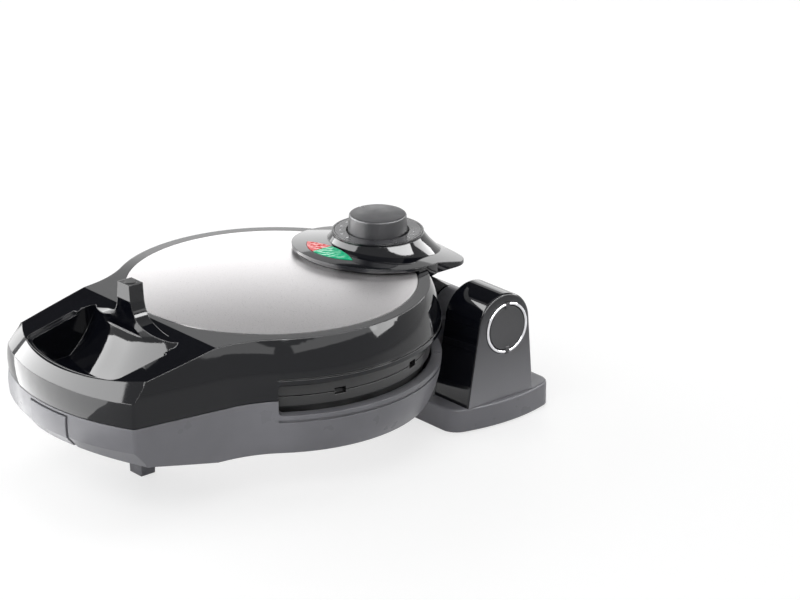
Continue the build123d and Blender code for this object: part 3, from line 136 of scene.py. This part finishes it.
class WaffleFinishes(bpy.types.PropertyGroup):
    """Colours and roughness of the finishes."""

    gloss_black: colour("Gloss black", (0.004, 0.0045, 0.007), "Mouldings of the lid, covers and towers")
    gloss_roughness: share("Gloss roughness", 0.05, "Roughness of the gloss mouldings")
    # Painted sheen: grey put into the towers' outer faces, lightest at their foot and fading to gloss
    # black at the top
    satin_grey: colour("Satin grey", (0.20, 0.20, 0.217), "Lower shell, latch and foot")
    tower_foot_sheen: colour("Tower side", (0.30, 0.30, 0.32), "Foot of the towers' satin outer faces")
    satin_roughness: share("Satin roughness", 0.34, "Roughness of the satin mouldings")
    disc_steel: colour("Disc steel", (0.62, 0.605, 0.61), "Brushed steel discs")
    disc_roughness: share("Disc roughness", 0.34, "Roughness of the brushed discs")
    knob_grey: colour("Knob grey", (0.026, 0.026, 0.030), "Knob and caps")
    print_white: colour("Print white", (0.80, 0.80, 0.82), "Dial print")
    red_lens: colour("Red lens", (0.60, 0.03, 0.03), "Red lamp")
    green_lens: colour("Green lens", (0.0, 0.40, 0.19), "Green lamps")


def sizes():
    return bpy.context.scene.waffle_sizes


def finishes():
    return bpy.context.scene.waffle_finishes


# Materials


class Shader:
    """A new node material with its Principled shader and a texture space in metres."""

    def __init__(self, name, base, roughness, metallic=0.0):
        self.material = bpy.data.materials.new(name)
        self.material.use_nodes = True
        self.tree = self.material.node_tree
        self.surface = self.tree.nodes["Principled BSDF"]
        self.set("Base Color", (*base, 1.0))
        self.set("Roughness", roughness)
        self.set("Metallic", metallic)
        self.base = base
        self.roughness = roughness
        self.place = self.tree.nodes.new("ShaderNodeTexCoord").outputs["Object"]

    def set(self, socket, value):
        self.surface.inputs[socket].default_value = value

    def link(self, start, end):
        self.tree.links.new(start, end)

    def stretched(self, scale):
        node = self.tree.nodes.new("ShaderNodeMapping")
        node.inputs["Scale"].default_value = scale
        self.link(self.place, node.inputs["Vector"])
        return node.outputs["Vector"]

    def noise(self, scale, detail=3.0, rough=0.5, stretch=(1, 1, 1)):
        node = self.tree.nodes.new("ShaderNodeTexNoise")
        node.inputs["Scale"].default_value = scale
        node.inputs["Detail"].default_value = detail
        node.inputs["Roughness"].default_value = rough
        self.link(self.stretched(stretch), node.inputs["Vector"])
        return node.outputs["Fac"]

    def facets(self, scale):
        """Pattern of flat cells that slope in different ways, as cut glass does."""
        node = self.tree.nodes.new("ShaderNodeTexVoronoi")
        node.inputs["Scale"].default_value = scale
        self.link(self.place, node.inputs["Vector"])
        return node.outputs["Distance"]

    def spread(self, source, low, high):
        """Maps the middle of a noise to a range."""
        node = self.tree.nodes.new("ShaderNodeMapRange")
        node.inputs["From Min"].default_value = 0.3
        node.inputs["From Max"].default_value = 0.7
        node.inputs["To Min"].default_value = low
        node.inputs["To Max"].default_value = high
        self.link(source, node.inputs["Value"])
        return node.outputs["Result"]

    def tint(self, source, change):
        """Varies the base colour by a share of itself."""
        node = self.tree.nodes.new("ShaderNodeMix")
        node.data_type = "RGBA"
        node.inputs["A"].default_value = (*[c * (1 - change) for c in self.base], 1.0)
        node.inputs["B"].default_value = (*[min(1, c * (1 + change)) for c in self.base], 1.0)
        self.link(self.spread(source, 0, 1), node.inputs["Factor"])
        self.link(node.outputs["Result"], self.surface.inputs["Base Color"])

    def wear(self, source, change):
        """Varies the roughness by an amount either way."""
        self.link(
            self.spread(source, max(0, self.roughness - change), self.roughness + change),
            self.surface.inputs["Roughness"],
        )

    def blend(self, factor, first, second, socket):
        """Mixes two values or colours into a socket by a factor."""
        node = self.tree.nodes.new("ShaderNodeMix")
        kind = "RGBA" if hasattr(second, "__len__") else "FLOAT"
        node.data_type = kind
        start, end = [i for i in node.inputs if i.enabled and i.name in ("A", "B")]
        if self.surface.inputs[socket].is_linked:
            self.link(self.surface.inputs[socket].links[0].from_socket, start)
        else:
            start.default_value = first
        end.default_value = second
        self.link(factor, next(i for i in node.inputs if i.enabled and i.name == "Factor"))
        self.link(next(o for o in node.outputs if o.enabled), self.surface.inputs[socket])

    def satin_sides_with_painted_sheen(self, base, roughness, reach):
        """Satin roughness on the faces that stand out farther than the reach across the pivot axis, with
        a painted sheen in their colour: grey at the foot, fading to the base colour at the top.
        """
        parts = self.tree.nodes.new("ShaderNodeSeparateXYZ")
        self.link(self.place, parts.inputs["Vector"])
        across = self.tree.nodes.new("ShaderNodeMath")
        across.operation = "ABSOLUTE"
        self.link(parts.outputs["Y"], across.inputs[0])
        outer = self.tree.nodes.new("ShaderNodeMath")
        outer.operation = "GREATER_THAN"
        outer.inputs[1].default_value = reach
        self.link(across.outputs["Value"], outer.inputs[0])
        # Painted sheen: the outer faces' colour goes lighter towards the foot by height
        foot = self.tree.nodes.new("ShaderNodeMapRange")
        foot.inputs["From Min"].default_value = TOWER_TOP
        foot.inputs["From Max"].default_value = 0.0
        self.link(parts.outputs["Z"], foot.inputs["Value"])
        painted_sheen = self.tree.nodes.new("ShaderNodeMath")
        painted_sheen.operation = "MULTIPLY"
        self.link(outer.outputs["Value"], painted_sheen.inputs[0])
        self.link(foot.outputs["Result"], painted_sheen.inputs[1])
        self.blend(painted_sheen.outputs["Value"], (*self.base, 1.0), (*base, 1.0), "Base Color")
        self.blend(outer.outputs["Value"], self.roughness, roughness, "Roughness")

    def soften(self, width):
        """Lets sharp edges catch the light as if they were rounded by a width."""
        node = self.tree.nodes.new("ShaderNodeBevel")
        node.samples = 6
        node.inputs["Radius"].default_value = width
        self.link(node.outputs["Normal"], self.surface.inputs["Normal"])

    def bump(self, source, height, strength=1.0):
        node = self.tree.nodes.new("ShaderNodeBump")
        node.inputs["Distance"].default_value = height
        node.inputs["Strength"].default_value = strength
        self.link(source, node.inputs["Height"])
        if self.surface.inputs["Normal"].is_linked:
            self.link(self.surface.inputs["Normal"].links[0].from_socket, node.inputs["Normal"])
        self.link(node.outputs["Normal"], self.surface.inputs["Normal"])


def moulded(name, base, roughness, grain, grain_height, edge=0.0005):
    """Moulded plastic with softened edges, a fine grain and a faint mottle."""
    shader = Shader(name, base, roughness)
    shader.soften(edge)
    mottle = shader.noise(18.0)
    shader.tint(mottle, SURFACE_TINT)
    shader.wear(shader.noise(60.0), roughness * 0.25)
    shader.bump(shader.noise(grain, 2.0), grain_height)
    return shader


def metal(name, base, roughness, stretch, grain, height):
    """Metal with grain drawn out by its working direction."""
    shader = Shader(name, base, roughness, 1.0)
    streak = shader.noise(grain, 4.0, 0.6, stretch)
    shader.tint(streak, 0.10)
    shader.wear(streak, roughness * 0.22)
    shader.bump(streak, height)
    return shader


def finish(name):
    """The material of that name, made at its first use."""
    if name not in FINISHED:
        FINISHED[name] = new_finish(name)
    return FINISHED[name]


def new_finish(name):
    """Makes the material of that name."""
    f = finishes()
    if name in ("gloss_black", "tower_black"):
        shader = moulded(name, f.gloss_black, f.gloss_roughness, 250.0, 0.0000004, sizes().edge_round)
        shader.set("IOR", 1.36)
        if name == "tower_black":
            # Outer faces get satin roughness and a painted sheen, grey at the foot
            shader.satin_sides_with_painted_sheen(f.tower_foot_sheen, 0.3, TOWER_REACH - 0.0004)
    elif name == "satin_grey":
        shader = moulded(name, f.satin_grey, f.satin_roughness, 2600.0, 0.00001, sizes().edge_round)
        shader.set("Specular IOR Level", 0.2)
    elif name == "brushed_disc":
        shader = metal(name, f.disc_steel, f.disc_roughness, (0.4, 1.0, 1.0), 2400.0, 0.000004)
    elif name == "knob_plastic":
        shader = moulded(name, f.knob_grey, 0.42, 3200.0, 0.00002)
    elif name == "coated_plate":
        shader = moulded(name, (0.016, 0.016, 0.017), 0.42, 1400.0, 0.00004)
    elif name == "chrome_trim":
        shader = metal(name, (0.62, 0.62, 0.64), 0.12, (1, 1, 1), 300.0, 0.000001)
    elif name == "steel":
        shader = metal(name, (0.55, 0.55, 0.56), 0.28, (1, 1, 0.2), 1200.0, 0.000008)
    elif name == "element":
        shader = metal(name, (0.20, 0.19, 0.18), 0.45, (1, 1, 1), 500.0, 0.00002)
    elif name == "reflector":
        shader = metal(name, (0.75, 0.75, 0.76), 0.22, (0.05, 1, 1), 900.0, 0.00001)
    elif name == "brass":
        shader = metal(name, (0.72, 0.52, 0.22), 0.25, (1, 1, 0.2), 900.0, 0.00001)
    elif name == "rubber":
        shader = moulded(name, (0.02, 0.02, 0.021), 0.62, 1500.0, 0.00004)
    elif name == "bearing_plastic":
        shader = moulded(name, (0.03, 0.03, 0.033), 0.35, 2000.0, 0.00001)
    elif name == "white_plastic":
        shader = moulded(name, (0.70, 0.69, 0.65), 0.30, 1500.0, 0.00001)
    elif name == "moulded_body":
        shader = moulded(name, (0.07, 0.04, 0.025), 0.40, 1500.0, 0.00002)
    elif name == "dial_print":
        shader = moulded(name, (0.030, 0.030, 0.035), 0.26, 2600.0, 0.000001)
    elif name == "print_white":
        shader = moulded(name, f.print_white, 0.45, 2600.0, 0.000005)
    elif name in ("red_lens", "green_lens"):
        base = f.red_lens if name == "red_lens" else f.green_lens
        shader = moulded(name, base, 0.08, 420.0, 0.0003, 0.0002)
        shader.set("Specular IOR Level", 0.25)
        shader.set("Emission Color", (*base, 1.0))
        shader.set("Emission Strength", 0.3)
        shader.bump(shader.facets(300.0), 0.0006)
    else:
        raise ValueError("no finish named " + name)
    return shader.material


def dress(finish_name, *names):
    """Gives CAD nodes a finish."""
    for name in names:
        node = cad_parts[name]
        node.data.materials.clear()
        node.data.materials.append(finish(finish_name))


# Printed marks


def new_piece(name, mesh, finish_name, body):
    """Adds a mesh as a piece that rides on a body."""
    piece = bpy.data.objects.new(name, mesh)
    bpy.context.scene.collection.objects.link(piece)
    mesh.materials.clear()
    mesh.materials.append(finish(finish_name))
    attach(piece, body)
    return piece


def dial_point(radius, angle, height):
    """A point of the dial by its radius and its angle from X."""
    turn = math.radians(angle)
    return Vector(
        (DIAL_MIDDLE.x + radius * math.cos(turn), DIAL_MIDDLE.y + radius * math.sin(turn), height)
    )


def disc_mark(mesh, middle, radius, height, sides=24):
    """Adds a flat round mark with a thin edge."""
    rings = []
    for level in (middle.z - height, middle.z + height):
        rings.append(
            [
                mesh.verts.new(
                    (
                        middle.x + radius * math.cos(2 * math.pi * i / sides),
                        middle.y + radius * math.sin(2 * math.pi * i / sides),
                        level,
                    )
                )
                for i in range(sides)
            ]
        )
    mesh.faces.new(rings[1])
    mesh.faces.new(reversed(rings[0]))
    for i in range(sides):
        j = (i + 1) % sides
        mesh.faces.new((rings[0][i], rings[0][j], rings[1][j], rings[1][i]))


def number_mark(text, height, thickness):
    """Mesh of a flat number, centred on the origin, whose foot points towards -Y."""
    curve = bpy.data.curves.new("number", "FONT")
    curve.body = text
    curve.size = height
    curve.extrude = thickness
    curve.align_x = "CENTER"
    curve.align_y = "CENTER"
    maker = bpy.data.objects.new("number", curve)
    bpy.context.scene.collection.objects.link(maker)
    bpy.context.view_layer.update()
    shaped = maker.evaluated_get(bpy.context.evaluated_depsgraph_get())
    mesh = bpy.data.meshes.new_from_object(shaped)
    bpy.data.objects.remove(maker)
    bpy.data.curves.remove(curve)
    return mesh


class WAFFLE_OT_shells(bpy.types.Operator):
    """Finish both halves' shells and the latch."""

    bl_idname = "waffle.shells"
    bl_label = "Shells and latch"

    def execute(self, context):
        dress("gloss_black", "upper_shell")
        dress("satin_grey", "lower_shell", "latch")
        dress("rubber", "upper_post_plug", "lower_post_plug")
        dress("steel", "latch_pin", "latch_springs", "latch_strike")
        return {"FINISHED"}


class WAFFLE_OT_discs(bpy.types.Operator):
    """Finish the domed steel discs."""

    bl_idname = "waffle.discs"
    bl_label = "Steel discs"

    def execute(self, context):
        dress("brushed_disc", "upper_disc", "lower_disc")
        return {"FINISHED"}


class WAFFLE_OT_covers(bpy.types.Operator):
    """Finish the hinge covers and their lamps."""

    bl_idname = "waffle.covers"
    bl_label = "Hinge covers and lamps"

    def execute(self, context):
        dress("gloss_black", "upper_hinge_cover", "lower_hinge_cover")
        dress("red_lens", "red_lamp")
        dress("green_lens", "green_lamp", "lower_lamp")
        return {"FINISHED"}


class WAFFLE_OT_dial(bpy.types.Operator):
    """Finish the dial ring and print its dots and numbers."""

    bl_idname = "waffle.dial"
    bl_label = "Dial print"

    def execute(self, context):
        s = sizes()
        dress("dial_print", "dial_ring")
        top = DIAL_HIGH.z
        mesh = bmesh.new()
        for angle in DIAL_DOTS:
            disc_mark(mesh, dial_point(s.print_radius, angle, top), s.dot_radius, s.print_height)
        marks = bpy.data.meshes.new("dial_dots")
        mesh.to_mesh(marks)
        mesh.free()
        new_piece("dial_dots", marks, "print_white", "lid")
        for text, angle in DIAL_NUMBERS:
            number = number_mark(text, s.number_height, s.print_height)
            turn = Matrix.Rotation(math.radians(angle + 90), 4, "Z")
            number.transform(Matrix.Translation(dial_point(s.print_radius, angle, top)) @ turn)
            new_piece("dial_number_" + text, number, "print_white", "lid")
        return {"FINISHED"}


class WAFFLE_OT_knob(bpy.types.Operator):
    """Finish the knob and its spindle."""

    bl_idname = "waffle.knob"
    bl_label = "Knob"

    def execute(self, context):
        dress("knob_plastic", "knob")
        dress("brass", "knob_spindle", "contact_blade")
        return {"FINISHED"}


class WAFFLE_OT_plates(bpy.types.Operator):
    """Finish the cooking plates."""

    bl_idname = "waffle.plates"
    bl_label = "Cooking plates"

    def execute(self, context):
        dress("coated_plate", "upper_plate", "lower_plate")
        return {"FINISHED"}


class WAFFLE_OT_inside(bpy.types.Operator):
    """Finish the heating elements, reflectors, thermostat and screws."""

    bl_idname = "waffle.inside"
    bl_label = "Inner pieces"

    def execute(self, context):
        dress("element", "upper_heater", "lower_heater")
        dress("reflector", "upper_reflector", "lower_reflector", "thermal_fuse")
        dress("moulded_body", "thermostat")
        dress(
            "steel",
            "upper_reflector_screws",
            "lower_reflector_screws",
            "upper_cover_screws",
            "lower_cover_screws",
            "hinge_pin",
            "pivot_clips",
        )
        return {"FINISHED"}


class WAFFLE_OT_stand(bpy.types.Operator):
    """Finish the stand with its towers, caps and trim."""

    bl_idname = "waffle.stand"
    bl_label = "Stand"

    def execute(self, context):
        dress("tower_black", "front_tower", "rear_tower")
        dress("satin_grey", "base_shell", "base_plate")
        dress("knob_plastic", "front_cap", "rear_cap")
        dress("bearing_plastic", "front_pivot", "rear_pivot", "front_bush", "rear_bush")
        dress("chrome_trim", "trim_rings")
        dress("rubber", "rubber_feet", "cord_gland")
        dress("white_plastic", "terminal_block")
        dress("steel", "base_screws", "tower_screws")
        return {"FINISHED"}


# Studio


def direction(azimuth, elevation):
    """Unit vector from the object towards a place given by its azimuth and elevation in degrees."""
    a, e = math.radians(azimuth), math.radians(elevation)
    return Vector((math.sin(a) * math.cos(e), -math.cos(a) * math.cos(e), math.sin(e)))


def aim(thing, back):
    """Turns a lamp, card or camera so that it faces away from a direction."""
    thing.rotation_mode = "QUATERNION"
    thing.rotation_quaternion = (-back).to_track_quat("-Z", "Y")


def softbox(name, azimuth, elevation, spread, rise, brightness, gloss=False):
    """Rectangular lamp that spans so many degrees across and up, seen from the object's middle.

    Brightness is that of its face, where 1 is white. A gloss card only shows as a reflection, and
    the others only light the surfaces.
    """
    lamp = bpy.data.lights.new(name, "AREA")
    lamp.shape = "RECTANGLE"
    lamp.size = 2 * LAMP_REACH * math.tan(math.radians(spread / 2))
    lamp.size_y = 2 * LAMP_REACH * math.tan(math.radians(rise / 2))
    lamp.energy = brightness * math.pi * lamp.size * lamp.size_y
    box = bpy.data.objects.new(name, lamp)
    bpy.context.scene.collection.objects.link(box)
    back = direction(azimuth, elevation)
    box.location = LAMP_TARGET + LAMP_REACH * back
    aim(box, back)
    box.visible_camera = False
    box.visible_diffuse = not gloss
    box.visible_glossy = gloss
    return box


def staged(name, mesh, material):
    """Adds a piece of the studio that isn't part of the object."""
    mesh.materials.append(material)
    thing = bpy.data.objects.new(name, mesh)
    bpy.context.scene.collection.objects.link(thing)
    return thing


class WAFFLE_OT_stage(bpy.types.Operator):
    """Set up the floor, the lamps, the surroundings and the camera."""

    bl_idname = "waffle.stage"
    bl_label = "Studio"

    def execute(self, context):
        scene = context.scene
        scene.view_settings.view_transform = "Standard"
        self.floor()
        self.surroundings(scene)
        self.flag(*FLAG)
        for lamp in SOFTBOXES:
            softbox(*lamp)
        for card in GLOSS_CARDS:
            softbox(*card, gloss=True)
        low_card = softbox(*LOW_CARD, gloss=True)
        low_card.location = LOW_CARD_PLACE
        aim(low_card, Vector((0, 0, -1)))
        view = bpy.data.cameras.new("camera")
        view.lens = VIEW_LENS
        view.sensor_width = VIEW_SENSOR
        view.clip_end = 50.0
        camera = bpy.data.objects.new("camera", view)
        scene.collection.objects.link(camera)
        back = direction(VIEW_AZIMUTH, VIEW_ELEVATION)
        camera.location = VIEW_TARGET + VIEW_DISTANCE * back
        aim(camera, back)
        scene.camera = camera
        return {"FINISHED"}

    def floor(self):
        """White floor that keeps the object's shadow."""
        shader = Shader("floor", FLOOR_LIT, 0.6)
        shader.set("Emission Color", (1, 1, 1, 1))
        shader.set("Specular IOR Level", 0.2)
        shown = self.shown(shader.tree)
        tone = shader.tree.nodes.new("ShaderNodeMix")
        tone.data_type = "RGBA"
        tone.inputs["A"].default_value = (*FLOOR_LIT, 1.0)
        tone.inputs["B"].default_value = (*FLOOR_SHOWN, 1.0)
        shader.link(shown, tone.inputs["Factor"])
        shader.link(tone.outputs["Result"], shader.surface.inputs["Base Color"])
        glow = self.level(shader.tree, shown, 0.0, FLOOR_GLOW)
        shader.link(glow, shader.surface.inputs["Emission Strength"])
        r = FLOOR_HALF
        mesh = bpy.data.meshes.new("floor")
        mesh.from_pydata([(-r, -r, 0), (r, -r, 0), (r, r, 0), (-r, r, 0)], [], [(0, 1, 2, 3)])
        staged("floor", mesh, shader.material)

    def flag(self, azimuth, elevation, spread, rise):
        """Black card behind the object, for deep reflections in the gloss mouldings' flats."""
        shader = Shader("flag", (0.02, 0.02, 0.022), 0.9)
        shader.tint(shader.noise(2.0), 0.1)
        w = LAMP_REACH * math.tan(math.radians(spread / 2))
        h = LAMP_REACH * math.tan(math.radians(rise / 2))
        mesh = bpy.data.meshes.new("flag")
        mesh.from_pydata([(-w, -h, 0), (w, -h, 0), (w, h, 0), (-w, h, 0)], [], [(0, 1, 2, 3)])
        card = staged("flag", mesh, shader.material)
        back = direction(azimuth, elevation)
        card.location = LAMP_TARGET + (LAMP_REACH + FLAG_BEHIND_LAMPS) * back
        aim(card, back)
        card.visible_camera = False

    def surroundings(self, scene):
        """White world behind everything, which lights the object more dimly than it shows."""
        world = bpy.data.worlds.new("studio")
        scene.world = world
        world.use_nodes = True
        tree = world.node_tree
        background = tree.nodes["Background"]
        background.inputs["Color"].default_value = (1, 1, 1, 1)
        tree.links.new(
            self.level(tree, self.shown(tree), WORLD_LIGHT, 1.0), background.inputs["Strength"]
        )

    def shown(self, tree):
        """1 for the rays that show the background: straight to the camera, mirrored or through glass."""
        paths = tree.nodes.new("ShaderNodeLightPath")
        seen = paths.outputs["Is Camera Ray"]
        for ray in ("Is Glossy Ray", "Is Transmission Ray"):
            either = tree.nodes.new("ShaderNodeMath")
            either.operation = "MAXIMUM"
            tree.links.new(seen, either.inputs[0])
            tree.links.new(paths.outputs[ray], either.inputs[1])
            seen = either.outputs[0]
        return seen

    def level(self, tree, factor, low, high):
        """Runs from low to high as the factor goes from 0 to 1."""
        node = tree.nodes.new("ShaderNodeMapRange")
        node.inputs["To Min"].default_value = low
        node.inputs["To Max"].default_value = high
        tree.links.new(factor, node.inputs["Value"])
        return node.outputs["Result"]


class WAFFLE_PT_panel(bpy.types.Panel):
    """Sidebar panel with the waffle maker's steps and finishes."""

    bl_idname = "WAFFLE_PT_panel"
    bl_label = "Waffle maker"
    bl_space_type = "VIEW_3D"
    bl_region_type = "UI"
    bl_category = "Waffle maker"

    def draw(self, context):
        column = self.layout.column()
        for step in STEPS:
            column.operator(step.bl_idname)
        for group in (context.scene.waffle_sizes, context.scene.waffle_finishes):
            box = self.layout.box().column()
            for name in group.__annotations__:
                box.prop(group, name)


STEPS = (
    WAFFLE_OT_shells,
    WAFFLE_OT_discs,
    WAFFLE_OT_covers,
    WAFFLE_OT_dial,
    WAFFLE_OT_knob,
    WAFFLE_OT_plates,
    WAFFLE_OT_inside,
    WAFFLE_OT_stand,
    WAFFLE_OT_stage,
)
CLASSES = (WaffleSizes, WaffleFinishes, *STEPS, WAFFLE_PT_panel)


def register():
    for c in CLASSES:
        bpy.utils.register_class(c)
    bpy.types.Scene.waffle_sizes = bpy.props.PointerProperty(type=WaffleSizes)
    bpy.types.Scene.waffle_finishes = bpy.props.PointerProperty(type=WaffleFinishes)


def unregister():
    del bpy.types.Scene.waffle_finishes
    del bpy.types.Scene.waffle_sizes
    for c in reversed(CLASSES):
        bpy.utils.unregister_class(c)


def main():
    register()
    for step in STEPS:
        group, name = step.bl_idname.split(".")
        getattr(getattr(bpy.ops, group), name)()


if __name__ == "__main__":
    main()
